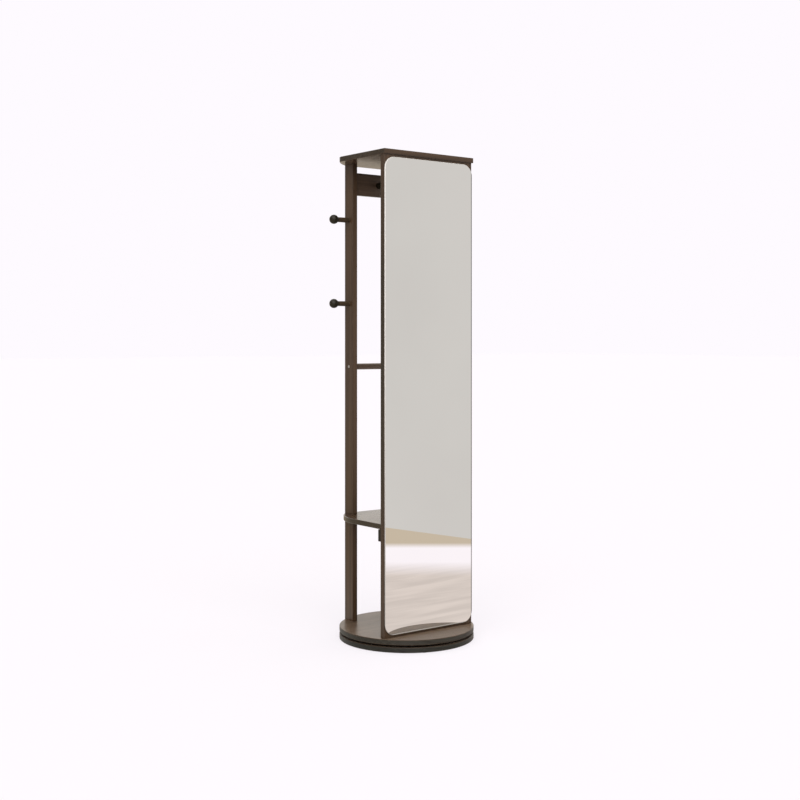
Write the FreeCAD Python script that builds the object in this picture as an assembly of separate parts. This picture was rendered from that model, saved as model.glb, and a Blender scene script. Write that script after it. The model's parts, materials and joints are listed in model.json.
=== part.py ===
import FreeCAD, Part
import math
import os

# A revolving wardrobe stand with a full-length mirror. A round base stays still on the floor. On it a
# ball bearing carries a second disc, and everything above turns with that disc: the mirror panel in
# front, two posts behind it, a shelf, a hanging rail, a stretcher rod, four pegs and the top board.
# Millimetres. +Z is up, the mirror faces -Y, and the origin is on the turning axis at floor level.

Vec = FreeCAD.Vector
UP = Vec(0, 0, 1)
DOWN = Vec(0, 0, -1)
RIGHT = Vec(1, 0, 0)
LEFT = Vec(-1, 0, 0)
BACK = Vec(0, 1, 0)
FRONT = Vec(0, -1, 0)

# Driving dimensions: the whole stand and its boards
overall_height = 1700.0
disc_diameter = 475.0
board_thickness = 18.0
upright_thickness = 20.0
edge_rounding = 2.0

# Mirror panel and mirror
panel_width = 390.0
panel_front = -126.0
mirror_glass_thickness = 4.0
mirror_tape_thickness = 1.0
mirror_side_margin = 1.5
mirror_end_margin = 8.0
mirror_corner_radius = 40.0
mirror_ground_edge = 0.8
tape_width = 20.0
tape_inset = 60.0
tape_xs = (-150.0, -50.0, 50.0, 150.0)

# Top board and shelf
top_side_overhang = 3.0
top_front_overhang = 1.0
top_sweep_radius = 237.0
top_corner_rounding = 30.0
rear_edge = 206.0
shelf_half_width = 186.0
shelf_side_length = 170.0
shelf_top = 428.0
batten_height = 40.0
batten_inset = 3.0

# Posts, crossboard and rods
post_outer = 125.0
post_rear = 202.0
post_depth = 50.0
crossboard_height = 80.0
crossboard_drop = 28.0
crossboard_set_back = 13.0
rod_diameter = 22.0
stretcher_height = 957.0

# Pegs
peg_heights = (1483.0, 1183.0)
peg_reach = 65.0
peg_ball_diameter = 33.0
peg_root_diameter = 18.5
peg_neck_diameter = 17.5

# Ball bearing between the discs
bearing_gap = 7.5
ball_circle_radius = 104.0
ball_diameter = 3.175
ball_count = 24
groove_clearance = 0.15
ring_height = 6.0
ring_gap = 1.0
ring_width = 19.5
ring_bevel = 0.5
cage_height = 5.0
cage_thickness = 0.6
cage_pocket_diameter = 3.3
ring_screw_count = 4
access_hole_diameter = 18.0

# Feet
pad_diameter = 30.0
pad_height = 2.0
pad_count = 8
pad_edge_distance = 22.0

# Fasteners
ring_screw_diameter = 3.5
ring_screw_head = 7.0
ring_screw_length = 16.0
panel_screw_diameter = 6.4
panel_screw_head = 10.0
panel_screw_length = 50.0
cap_diameter = 12.0
cap_height = 1.5
dowel_diameter = 8.0
dowel_length = 30.0
dowel_disc_reach = 12.0
dowel_post_reach = 11.0
joint_dowel_length = 58.0
stud_diameter = 8.0
stud_grip = 26.0
peg_stud_diameter = 6.0
peg_stud_grip = 12.0
peg_stud_length = 34.0
wood_screw_diameter = 4.0
wood_screw_head = 8.0
wood_screw_length = 30.0
rail_screw_diameter = 5.0
rail_screw_head = 10.0
rail_screw_length = 46.0
cam_diameter = 15.0
cam_depth = 12.5
cam_end_distance = 24.0
cam_bolt_thread = 5.0
cam_bolt_thread_length = 11.0
cam_bolt_stem = 6.0
cam_bolt_neck = 4.0
cam_bolt_collar = 2.0
cam_bolt_clearance = 0.3
cam_slot = 2.0
pin_bevel = 1.0

# Levels and faces that follow from them
disc_radius = disc_diameter / 2
base_top = pad_height + board_thickness
turntable_bottom = base_top + bearing_gap
turntable_top = turntable_bottom + board_thickness
top_underside = overall_height - board_thickness
panel_back = panel_front + upright_thickness
panel_middle = panel_front + upright_thickness / 2
half_panel = panel_width / 2
mirror_front = panel_front - mirror_tape_thickness - mirror_glass_thickness
top_front = mirror_front - top_front_overhang
shelf_bottom = shelf_top - board_thickness
post_inner = post_outer - upright_thickness
post_front = post_rear - post_depth
post_middle = post_rear - post_depth / 2
post_centre = post_outer - upright_thickness / 2
crossboard_top = top_underside - crossboard_drop
crossboard_bottom = crossboard_top - crossboard_height
crossboard_middle = (crossboard_top + crossboard_bottom) / 2
crossboard_front = post_front + crossboard_set_back
crossboard_back = crossboard_front + board_thickness
crossboard_centre = (crossboard_front + crossboard_back) / 2
batten_bottom = shelf_bottom - batten_height
ball_level = base_top + bearing_gap / 2

# Places of the fasteners
post_fastener_offset = 11.0
panel_screw_xs = (-150.0, 0.0, 150.0)
panel_dowel_xs = (-75.0, 75.0)
post_screw_y = post_middle + post_fastener_offset
post_dowel_y = post_middle - post_fastener_offset
batten_screw_xs = (-160.0, 0.0, 160.0)
shelf_screw_xs = (-110.0, 110.0)
shelf_screw_cover = 6.0
crossboard_dowel_offset = 24.0
ring_screw_radius = ball_circle_radius + ring_gap / 2 + ring_width / 2
inner_screw_radius = ball_circle_radius - ring_gap / 2 - ring_width / 2


def block(low, high):
    size = high.sub(low)
    return Part.makeBox(size.x, size.y, size.z, low)


def straight_edges(shape, direction):
    """Straight edges that run along a direction."""
    found = []
    for edge in shape.Edges:
        if isinstance(edge.Curve, Part.Line):
            if abs(edge.tangentAt(edge.FirstParameter).dot(direction)) > 0.999:
                found.append(edge)
    return found


def level_edges(shape, level):
    """Edges that lie flat at one height."""
    found = []
    for edge in shape.Edges:
        box = edge.BoundBox
        if abs(box.ZMin - level) < 0.01 and abs(box.ZMax - level) < 0.01:
            found.append(edge)
    return found


def eased_board(low, high, direction):
    """A board with the four edges along one direction rounded over."""
    board = block(low, high)
    return board.makeFillet(edge_rounding, straight_edges(board, direction))


def turned(points):
    """A solid turned about Z from a closed outline of (radius, height) points."""
    corners = [Vec(radius, 0, height) for radius, height in points]
    corners.append(corners[0])
    face = Part.Face(Part.makePolygon(corners))
    return face.revolve(Vec(0, 0, 0), UP, 360)


def aimed(shape, start, direction):
    """A copy of a shape made along +Z, moved to start and turned to point along direction."""
    copy = shape.copy()
    copy.Placement = FreeCAD.Placement(start, FreeCAD.Rotation(UP, direction))
    return copy


def round_bar(diameter, start, end):
    run = end.sub(start)
    return Part.makeCylinder(diameter / 2, run.Length, start, run)


def mirrored(shape):
    """The mirror image of a shape, on the other side of the stand."""
    return shape.mirror(Vec(0, 0, 0), RIGHT)


def mirrored_pair(shape):
    return [shape, mirrored(shape)]


def on_circle(radius, angle, level):
    return Vec(radius * math.cos(angle), radius * math.sin(angle), level)


def circle_angles(count, first=0.0):
    return [first + 2 * math.pi * step / count for step in range(count)]


def without(shape, *groups):
    """A shape with the room for its fasteners cut out of it."""
    tools = [solid for group in groups for solid in group]
    return shape.cut(tools)


# Fasteners, each made with its head at the origin and its point along +Z

def countersunk_screw(diameter, head, length):
    shank = diameter / 2
    cone = head / 2 - shank
    point = length - shank
    return turned([(0, 0), (head / 2, 0), (shank, cone), (shank, point), (shank / 4, length), (0, length)])


def straight_pin(diameter, length):
    """A wooden dowel or a double-ended stud: a plain pin with bevelled ends."""
    radius = diameter / 2
    tip = radius - pin_bevel
    return turned([(0, 0), (tip, 0), (radius, pin_bevel), (radius, length - pin_bevel), (tip, length),
                   (0, length)])


def cam_bolt():
    """Thread that bites the post, then the stem that reaches into the cam, with its collared tip."""
    thread = cam_bolt_thread / 2
    stem = cam_bolt_stem / 2
    neck = cam_bolt_neck / 2
    shoulder = stem - neck
    tip = cam_bolt_thread_length + cam_end_distance
    neck_start = tip - cam_diameter / 2
    collar_start = tip - cam_bolt_collar
    return turned([(0, 0), (thread, 0), (thread, cam_bolt_thread_length), (stem, cam_bolt_thread_length),
                   (stem, neck_start), (neck, neck_start + shoulder), (neck, collar_start - shoulder),
                   (stem, collar_start), (stem, tip), (0, tip)])


# The still part: pads, base disc and the bearing's outer ring

def rounded_disc(level):
    disc = Part.makeCylinder(disc_radius, board_thickness, Vec(0, 0, level))
    rims = level_edges(disc, level) + level_edges(disc, level + board_thickness)
    return disc.makeFillet(edge_rounding, rims)


def floor_pads():
    radius = disc_radius - pad_edge_distance
    return [Part.makeCylinder(pad_diameter / 2, pad_height, on_circle(radius, angle, 0))
            for angle in circle_angles(pad_count, math.pi / pad_count)]


def outer_ring_screws():
    screw = countersunk_screw(ring_screw_diameter, ring_screw_head, ring_screw_length)
    head_level = base_top + ring_height
    return [aimed(screw, on_circle(ring_screw_radius, angle, head_level), DOWN)
            for angle in circle_angles(ring_screw_count, math.pi / 4)]


def inner_ring_screws():
    screw = countersunk_screw(ring_screw_diameter, ring_screw_head, ring_screw_length)
    head_level = turntable_bottom - ring_height
    return [aimed(screw, on_circle(inner_screw_radius, angle, head_level), UP)
            for angle in circle_angles(ring_screw_count)]


def base_disc():
    """The lower disc, with the hole through which the turntable's screws are driven."""
    place = Vec(0, inner_screw_radius, pad_height)
    access = Part.makeCylinder(access_hole_diameter / 2, board_thickness, place)
    return without(rounded_disc(pad_height), outer_ring_screws(), [access])


def bearing_ring(inner_radius, outer_radius, bottom):
    """A turned ring with half of the round groove that the balls run in."""
    top = bottom + ring_height
    ring = turned([(inner_radius + ring_bevel, bottom), (outer_radius - ring_bevel, bottom),
                   (outer_radius, bottom + ring_bevel), (outer_radius, top - ring_bevel),
                   (outer_radius - ring_bevel, top), (inner_radius + ring_bevel, top),
                   (inner_radius, top - ring_bevel), (inner_radius, bottom + ring_bevel)])
    groove_radius = ball_diameter / 2 + groove_clearance
    groove = Part.makeTorus(ball_circle_radius, groove_radius, Vec(0, 0, ball_level))
    return ring.cut(groove)


def bearing_outer_ring():
    inner = ball_circle_radius + ring_gap / 2
    return without(bearing_ring(inner, inner + ring_width, base_top), outer_ring_screws())


# The ball race: balls held apart by a thin band that turns at about half the speed

def bearing_balls():
    return [Part.makeSphere(ball_diameter / 2, on_circle(ball_circle_radius, angle, ball_level))
            for angle in circle_angles(ball_count, math.pi / ball_count)]


def ball_cage():
    low = ball_level - cage_height / 2
    outer = Part.makeCylinder(ball_circle_radius + cage_thickness / 2, cage_height, Vec(0, 0, low))
    inner = Part.makeCylinder(ball_circle_radius - cage_thickness / 2, cage_height, Vec(0, 0, low))
    pockets = []
    for angle in circle_angles(ball_count, math.pi / ball_count):
        start = on_circle(ball_circle_radius - ball_diameter, angle, ball_level)
        end = on_circle(ball_circle_radius + ball_diameter, angle, ball_level)
        pockets.append(round_bar(cage_pocket_diameter, start, end))
    return without(outer.cut(inner), pockets)


# The turning part, from the bearing's inner ring up

def bearing_inner_ring():
    outer = ball_circle_radius - ring_gap / 2
    bottom = turntable_bottom - ring_height
    return without(bearing_ring(outer - ring_width, outer, bottom), inner_ring_screws())


def over_uprights(panel_xs, post_y, level):
    """Places along the panel and over the two posts, at one height."""
    places = [Vec(x, panel_middle, level) for x in panel_xs]
    return places + [Vec(x, post_y, level) for x in (-post_centre, post_centre)]


def base_panel_screws():
    """Screws up through the turntable into the panel and the lower posts."""
    screw = countersunk_screw(panel_screw_diameter, panel_screw_head, panel_screw_length)
    return [aimed(screw, place, UP)
            for place in over_uprights(panel_screw_xs, post_screw_y, turntable_bottom)]


def top_panel_screws():
    """Screws down through the top board into the panel and the upper posts, under their caps."""
    screw = countersunk_screw(panel_screw_diameter, panel_screw_head, panel_screw_length)
    level = overall_height - cap_height
    return [aimed(screw, place, DOWN) for place in over_uprights(panel_screw_xs, post_screw_y, level)]


def top_screw_caps():
    level = overall_height - cap_height
    return [Part.makeCylinder(cap_diameter / 2, cap_height, place)
            for place in over_uprights(panel_screw_xs, post_screw_y, level)]


def board_dowels(bottom):
    """Upright dowels in the ends of the panel and the posts."""
    pin = straight_pin(dowel_diameter, dowel_length)
    return [aimed(pin, place, UP) for place in over_uprights(panel_dowel_xs, post_dowel_y, bottom)]


def base_dowels():
    return board_dowels(turntable_top - dowel_disc_reach)


def top_dowels():
    return board_dowels(top_underside + dowel_disc_reach - dowel_length)


def turntable_disc():
    return without(rounded_disc(turntable_bottom), inner_ring_screws(), base_panel_screws(), base_dowels())


def batten_screws():
    screw = countersunk_screw(wood_screw_diameter, wood_screw_head, wood_screw_length)
    level = (batten_bottom + shelf_bottom) / 2
    return [aimed(screw, Vec(x, panel_back + board_thickness, level), FRONT) for x in batten_screw_xs]


def shelf_screws():
    """Screws driven up from deep holes in the batten into the shelf."""
    screw = countersunk_screw(wood_screw_diameter, wood_screw_head, wood_screw_length)
    level = shelf_top - shelf_screw_cover - wood_screw_length
    return [aimed(screw, Vec(x, panel_back + board_thickness / 2, level), UP) for x in shelf_screw_xs]


def shelf_screw_holes():
    """The wide holes under the shelf screws' heads."""
    depth = shelf_screws()[0].BoundBox.ZMin - batten_bottom
    places = [Vec(x, panel_back + board_thickness / 2, batten_bottom) for x in shelf_screw_xs]
    return [Part.makeCylinder(wood_screw_head / 2, depth, place) for place in places]


def rail_stud():
    """Double-ended stud that joins the hanging rail to the back of the panel."""
    start = Vec(0, panel_back - peg_stud_grip, crossboard_middle)
    return aimed(straight_pin(peg_stud_diameter, peg_stud_length), start, BACK)


def rail_end_screw():
    screw = countersunk_screw(rail_screw_diameter, rail_screw_head, rail_screw_length)
    return aimed(screw, Vec(0, crossboard_back, crossboard_middle), FRONT)


def mirror_panel():
    low = Vec(-half_panel, panel_front, turntable_top)
    high = Vec(half_panel, panel_back, top_underside)
    board = eased_board(low, high, UP)
    return without(board, base_panel_screws(), base_dowels(), top_panel_screws(), top_dowels(),
                   batten_screws(), [rail_stud()])


def mirror_glass():
    """Float-glass mirror with large round corners and a fine ground edge in front."""
    half_mirror = half_panel - mirror_side_margin
    bottom = turntable_top + mirror_end_margin
    top = top_underside - mirror_end_margin
    low = Vec(-half_mirror, mirror_front, bottom)
    high = Vec(half_mirror, mirror_front + mirror_glass_thickness, top)
    sheet = block(low, high)
    sheet = sheet.makeFillet(mirror_corner_radius, straight_edges(sheet, BACK))
    front_rim = [edge for edge in sheet.Edges if edge.BoundBox.YMax < mirror_front + 0.01]
    return sheet.makeChamfer(mirror_ground_edge, front_rim)


def mirror_tape():
    """Upright strips of foam tape between the panel and the mirror."""
    bottom = turntable_top + mirror_end_margin + tape_inset
    top = top_underside - mirror_end_margin - tape_inset
    strips = []
    for x in tape_xs:
        low = Vec(x - tape_width / 2, panel_front - mirror_tape_thickness, bottom)
        high = Vec(x + tape_width / 2, panel_front, top)
        strips.append(block(low, high))
    return strips


def swept_board(half_width, front, sweep_radius, sweep_middle, bottom):
    """A board with straight front and sides, both rear corners cut by one circle, and a short rear edge."""
    first = math.acos(half_width / sweep_radius)
    last = math.asin((rear_edge - sweep_middle) / sweep_radius)

    def on_sweep(side, angle):
        reach = sweep_radius * math.cos(angle)
        return Vec(side * reach, sweep_middle + sweep_radius * math.sin(angle), bottom)

    half_way = (first + last) / 2
    outline = [
        Part.LineSegment(Vec(-half_width, front, bottom), Vec(half_width, front, bottom)),
        Part.LineSegment(Vec(half_width, front, bottom), on_sweep(1, first)),
        Part.Arc(on_sweep(1, first), on_sweep(1, half_way), on_sweep(1, last)),
        Part.LineSegment(on_sweep(1, last), on_sweep(-1, last)),
        Part.Arc(on_sweep(-1, last), on_sweep(-1, half_way), on_sweep(-1, first)),
        Part.LineSegment(on_sweep(-1, first), Vec(-half_width, front, bottom)),
    ]
    face = Part.Face(Part.Wire([line.toShape() for line in outline]))
    return face.extrude(Vec(0, 0, board_thickness))


def rims_eased(board, bottom):
    rims = level_edges(board, bottom) + level_edges(board, bottom + board_thickness)
    return board.makeFillet(edge_rounding, rims)


def top_board():
    """The rear corners follow the round of the discs, so the posts stand just inside them."""
    half_width = half_panel + top_side_overhang
    board = swept_board(half_width, top_front, top_sweep_radius, 0, top_underside)
    bends = [edge for edge in straight_edges(board, UP)
             if edge.BoundBox.YMin > 0 and edge.BoundBox.YMax < rear_edge - 1]
    board = rims_eased(board.makeFillet(top_corner_rounding, bends), top_underside)
    return without(board, top_panel_screws(), top_screw_caps(), top_dowels())


def shelf():
    """The rear is part of a half round as wide as the shelf."""
    sweep_middle = panel_back + shelf_side_length
    board = swept_board(shelf_half_width, panel_back, shelf_half_width, sweep_middle, shelf_bottom)
    return without(rims_eased(board, shelf_bottom), shelf_screws(), post_joint_studs(),
                   post_joint_dowels())


def shelf_batten():
    low = Vec(-half_panel + batten_inset, panel_back, batten_bottom)
    high = Vec(half_panel - batten_inset, panel_back + board_thickness, shelf_bottom)
    batten = block(low, high)
    rear_ends = [edge for edge in straight_edges(batten, UP) if edge.BoundBox.YMin > panel_back]
    batten = batten.makeFillet(edge_rounding, rear_ends)
    return without(batten, batten_screws(), shelf_screws(), shelf_screw_holes())


# Posts: each is a lower and an upper length with the shelf held between them

def post_joint_studs():
    stud = straight_pin(stud_diameter, board_thickness + 2 * stud_grip)
    return mirrored_pair(aimed(stud, Vec(post_centre, post_screw_y, shelf_bottom - stud_grip), UP))


def post_joint_dowels():
    """Dowels through the shelf that keep the post lengths from turning on their studs."""
    bottom = (shelf_bottom + shelf_top - joint_dowel_length) / 2
    pin = straight_pin(dowel_diameter, joint_dowel_length)
    return mirrored_pair(aimed(pin, Vec(post_centre, post_dowel_y, bottom), UP))


def right_post_length(bottom, top):
    low = Vec(post_inner, post_front, bottom)
    high = Vec(post_outer, post_rear, top)
    return eased_board(low, high, UP)


def right_lower_post():
    post = right_post_length(turntable_top, shelf_bottom)
    return without(post, base_panel_screws(), base_dowels(), post_joint_studs(), post_joint_dowels())


def right_upper_post():
    post = right_post_length(shelf_top, top_underside)
    return without(post, top_panel_screws(), top_dowels(), post_joint_studs(), post_joint_dowels(),
                   peg_studs(), stretcher_screws(), crossboard_cam_bolts(), crossboard_dowels())


# Crossboard under the top, with cam fittings hidden on its rear face

def crossboard_cam_bolts():
    start = Vec(post_inner + cam_bolt_thread_length, crossboard_centre, crossboard_middle)
    return mirrored_pair(aimed(cam_bolt(), start, LEFT))


def crossboard_dowels():
    """Two dowels at each end of the crossboard, above and below the cam bolt."""
    pin = straight_pin(dowel_diameter, dowel_length)
    dowels = []
    for offset in (-crossboard_dowel_offset, crossboard_dowel_offset):
        start = Vec(post_inner + dowel_post_reach, crossboard_centre, crossboard_middle + offset)
        dowels += mirrored_pair(aimed(pin, start, LEFT))
    return dowels


def cam_recess():
    centre = Vec(post_inner - cam_end_distance, crossboard_back - cam_depth, crossboard_middle)
    return Part.makeCylinder(cam_diameter / 2, cam_depth, centre, BACK)


def crossboard_cams():
    """Round cams with a screwdriver slot, hollow where the bolt's tip sits."""
    room = cam_bolt_stem / 2 + cam_bolt_clearance
    centre_x = post_inner - cam_end_distance
    hollow_start = Vec(centre_x - room, crossboard_centre, crossboard_middle)
    hollow = Part.makeCylinder(room, cam_diameter, hollow_start, RIGHT)
    half_slot = Vec(cam_diameter / 2, 0, cam_slot / 2)
    slot_middle = Vec(centre_x, crossboard_back, crossboard_middle)
    slot = block(slot_middle - half_slot - Vec(0, cam_slot, 0), slot_middle + half_slot)
    return mirrored_pair(cam_recess().cut([hollow, slot]))


def crossboard():
    low = Vec(-post_inner, crossboard_front, crossboard_bottom)
    high = Vec(post_inner, crossboard_back, crossboard_top)
    board = eased_board(low, high, RIGHT)
    return without(board, mirrored_pair(cam_recess()), crossboard_cam_bolts(), crossboard_dowels(),
                   [rail_end_screw()])


def hanging_rail():
    start = Vec(0, panel_back, crossboard_middle)
    end = Vec(0, crossboard_front, crossboard_middle)
    return without(round_bar(rod_diameter, start, end), [rail_stud(), rail_end_screw()])


def stretcher_screws():
    screw = countersunk_screw(rail_screw_diameter, rail_screw_head, rail_screw_length)
    return mirrored_pair(aimed(screw, Vec(post_outer, post_middle, stretcher_height), LEFT))


def stretcher_rod():
    start = Vec(-post_inner, post_middle, stretcher_height)
    end = Vec(post_inner, post_middle, stretcher_height)
    return without(round_bar(rod_diameter, start, end), stretcher_screws())


# Pegs, turned in one piece with their balls

def peg_stud_pair(level):
    start = Vec(post_outer - peg_stud_grip, post_middle, level)
    return mirrored_pair(aimed(straight_pin(peg_stud_diameter, peg_stud_length), start, RIGHT))


def peg_studs():
    return [stud for level in peg_heights for stud in peg_stud_pair(level)]


def peg_body():
    """Outline of stem and ball as one curve, turned about the peg's own axis."""
    ball = peg_ball_diameter / 2
    root = peg_root_diameter / 2
    neck = peg_neck_diameter / 2
    meeting = peg_reach - math.sqrt(ball ** 2 - neck ** 2)
    outline = [
        Part.LineSegment(Vec(0, 0, 0), Vec(root, 0, 0)),
        Part.LineSegment(Vec(root, 0, 0), Vec(neck, 0, meeting)),
        Part.Arc(Vec(neck, 0, meeting), Vec(ball, 0, peg_reach), Vec(0, 0, peg_reach + ball)),
        Part.LineSegment(Vec(0, 0, peg_reach + ball), Vec(0, 0, 0)),
    ]
    face = Part.Face(Part.Wire([line.toShape() for line in outline]))
    return face.revolve(Vec(0, 0, 0), UP, 360)


def right_peg(level):
    peg = aimed(peg_body(), Vec(post_outer, post_middle, level), RIGHT)
    return without(peg, peg_stud_pair(level)[:1])


def write(node, shape):
    if isinstance(shape, list):
        shape = Part.makeCompound(shape)
    shape.exportStep(os.path.join("parts", node + ".step"))


def build():
    os.makedirs("parts", exist_ok=True)
    for piece in (floor_pads, base_disc, bearing_outer_ring, outer_ring_screws, ball_cage, bearing_balls,
                  bearing_inner_ring, inner_ring_screws, turntable_disc, base_panel_screws, base_dowels,
                  mirror_panel, mirror_tape, mirror_glass, top_board, top_panel_screws, top_screw_caps,
                  top_dowels, shelf, shelf_batten, batten_screws, shelf_screws, post_joint_studs,
                  post_joint_dowels, crossboard, crossboard_dowels, crossboard_cams, crossboard_cam_bolts,
                  hanging_rail, rail_stud, rail_end_screw, stretcher_rod, stretcher_screws, peg_studs):
        write(piece.__name__, piece())
    for piece in (right_lower_post, right_upper_post):
        right = piece()
        write(piece.__name__, right)
        write(piece.__name__.replace("right", "left"), mirrored(right))
    for level, place in zip(peg_heights, ("upper", "lower")):
        peg = right_peg(level)
        write("right_" + place + "_peg", peg)
        write("left_" + place + "_peg", mirrored(peg))


build()
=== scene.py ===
import json
import math
import bmesh
import bpy
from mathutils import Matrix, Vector


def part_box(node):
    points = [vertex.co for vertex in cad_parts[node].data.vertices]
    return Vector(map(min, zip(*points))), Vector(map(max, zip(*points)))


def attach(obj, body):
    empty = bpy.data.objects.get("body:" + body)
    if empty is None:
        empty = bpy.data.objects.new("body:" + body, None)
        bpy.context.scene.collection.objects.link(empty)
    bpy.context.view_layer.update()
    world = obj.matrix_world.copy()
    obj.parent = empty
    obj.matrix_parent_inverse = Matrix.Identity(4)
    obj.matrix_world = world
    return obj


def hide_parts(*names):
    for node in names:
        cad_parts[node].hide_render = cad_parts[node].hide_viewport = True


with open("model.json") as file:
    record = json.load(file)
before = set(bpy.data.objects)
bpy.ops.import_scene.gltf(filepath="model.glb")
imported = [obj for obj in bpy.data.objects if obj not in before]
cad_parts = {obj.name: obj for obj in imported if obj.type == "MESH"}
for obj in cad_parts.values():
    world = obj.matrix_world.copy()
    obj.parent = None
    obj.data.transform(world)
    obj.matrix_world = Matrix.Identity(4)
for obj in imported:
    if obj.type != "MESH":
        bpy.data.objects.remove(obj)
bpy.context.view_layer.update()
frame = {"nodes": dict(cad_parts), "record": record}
nodes = frame["nodes"]
mm = 0.001
print("stage: frame loaded,", len(nodes), "solids")

# the camera stands to the left of the mirror's front, level, a little above the middle of the stand
camera = {
    "turn": 37.75,  # degrees round from straight ahead
    "distance": 4.4527,
    "sideways": -0.0231,
    "height": 1.0594,
    "lens": 56.53,
    "sensor": 36,
    "shiftY": -0.0773,
    "sightRange": 200,
}

turn = math.radians(camera["turn"])
ahead = Vector((math.sin(turn), math.cos(turn), 0))
across = Vector((math.cos(turn), -math.sin(turn), 0))
standing = across * camera["sideways"] - ahead * camera["distance"]
standing.z = camera["height"]
cameraData = bpy.data.cameras.new("studioCamera")
cameraData.lens = camera["lens"]
cameraData.sensor_width = camera["sensor"]
cameraData.shift_y = camera["shiftY"]
cameraData.clip_end = camera["sightRange"]
cameraObject = bpy.data.objects.new("studioCamera", cameraData)
cameraObject.location = standing
cameraObject.rotation_euler = (math.radians(90), 0, -turn)
bpy.context.scene.collection.objects.link(cameraObject)
bpy.context.scene.camera = cameraObject
print("stage: camera set")


# small helpers for node trees

def addNode(tree, kind, inputs=None, **fields):
    node = tree.nodes.new(kind)
    for field, value in fields.items():
        setattr(node, field, value)
    for socket, value in (inputs or {}).items():
        if isinstance(value, bpy.types.NodeSocket):
            tree.links.new(value, node.inputs[socket])
        else:
            node.inputs[socket].default_value = value
    return node


def maths(tree, operation, a, b=0.0, clamp=False):
    return addNode(tree, "ShaderNodeMath", {0: a, 1: b}, operation=operation, use_clamp=clamp).outputs[0]


def plus(tree, a, b):
    return maths(tree, "ADD", a, b)


def minus(tree, a, b):
    return maths(tree, "SUBTRACT", a, b)


def times(tree, a, b):
    return maths(tree, "MULTIPLY", a, b)


def vectorMaths(tree, operation, a, b=(0, 0, 0), result="Vector"):
    return addNode(tree, "ShaderNodeVectorMath", {0: a, 1: b}, operation=operation).outputs[result]


def axisOf(tree, vector, axis):
    return addNode(tree, "ShaderNodeSeparateXYZ", {0: vector}).outputs[axis]


def combined(tree, x, y, z):
    return addNode(tree, "ShaderNodeCombineXYZ", {0: x, 1: y, 2: z}).outputs[0]


def noise(tree, place, scale, detail=2.0, roughness=0.5, distortion=0.0):
    inputs = {"Vector": place, "Scale": scale, "Detail": detail, "Roughness": roughness,
              "Distortion": distortion}
    return addNode(tree, "ShaderNodeTexNoise", inputs).outputs["Fac"]


def noiseAlong(tree, distance):
    return addNode(tree, "ShaderNodeTexNoise", {"W": distance, "Scale": 1.0, "Detail": 2.0},
                   noise_dimensions="1D").outputs["Fac"]


def stretchedNoise(tree, place, scales, *look):
    stretched = addNode(tree, "ShaderNodeMapping", {"Vector": place, "Scale": scales}).outputs["Vector"]
    return noise(tree, stretched, 1.0, *look)


def ramp(tree, factor, *stops):
    node = addNode(tree, "ShaderNodeValToRGB", {"Fac": factor})
    elements = node.color_ramp.elements
    while len(elements) < len(stops):
        elements.new(1.0)
    for element, (position, colour) in zip(elements, stops):
        element.position = position
        element.color = (*colour, 1.0)
    return node.outputs["Color"]


def remap(tree, value, low, high, newLow=0.0, newHigh=1.0):
    return addNode(tree, "ShaderNodeMapRange", {"Value": value, "From Min": low, "From Max": high,
                                                "To Min": newLow, "To Max": newHigh}).outputs["Result"]


def mixColour(tree, factor, a, b, blend="MIX"):
    node = addNode(tree, "ShaderNodeMix", data_type="RGBA", blend_type=blend)
    for socket, value in ((node.inputs[0], factor), (node.inputs[6], a), (node.inputs[7], b)):
        if isinstance(value, bpy.types.NodeSocket):
            tree.links.new(value, socket)
        elif isinstance(value, tuple):
            socket.default_value = (*value, 1.0)
        else:
            socket.default_value = value
    return node.outputs[2]


def objectPlace(tree):
    return addNode(tree, "ShaderNodeTexCoord").outputs["Object"]


def reachFromAxis(tree, place):
    flat = combined(tree, axisOf(tree, place, "X"), axisOf(tree, place, "Y"), 0.0)
    return vectorMaths(tree, "LENGTH", flat, result="Value")


def tinted(colour, amount):
    return tuple(channel * amount for channel in colour)


def newMaterial(name, constants):
    material = bpy.data.materials.new(name)
    material.use_nodes = True
    shader = material.node_tree.nodes["Principled BSDF"]
    for socket, value in constants.items():
        shader.inputs[socket].default_value = value
    return material, material.node_tree, shader


def feed(shader, socket, value):
    shader.id_data.links.new(value, shader.inputs[socket])


def bump(tree, shader, height, distance, strength):
    node = addNode(tree, "ShaderNodeBump", {"Height": height, "Distance": distance, "Strength": strength})
    feed(shader, "Normal", node.outputs["Normal"])


def mottledMaterial(name, look):
    # one noise for colour and roughness, and the same or a finer one for the relief
    material, tree, shader = newMaterial(name, look["constants"])
    place = objectPlace(tree)
    if "streaks" in look:
        mottle = stretchedNoise(tree, place, *look["streaks"])
    else:
        mottle = noise(tree, place, *look["cloud"])
    dark, light = look["colours"]
    feed(shader, "Base Color", ramp(tree, mottle, (0.3, dark), (0.7, light)))
    if "roughness" in look:
        feed(shader, "Roughness", remap(tree, mottle, 0.2, 0.8, *look["roughness"]))
    relief = noise(tree, place, *look["relief"]) if "relief" in look else mottle
    bump(tree, shader, relief, *look["bump"])
    return material


def paint(name, material):
    slots = nodes[name].data.materials
    slots.clear()
    slots.append(material)


# stained and lacquered wood, solid through the board: the pattern's own Z runs along the grain

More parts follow.
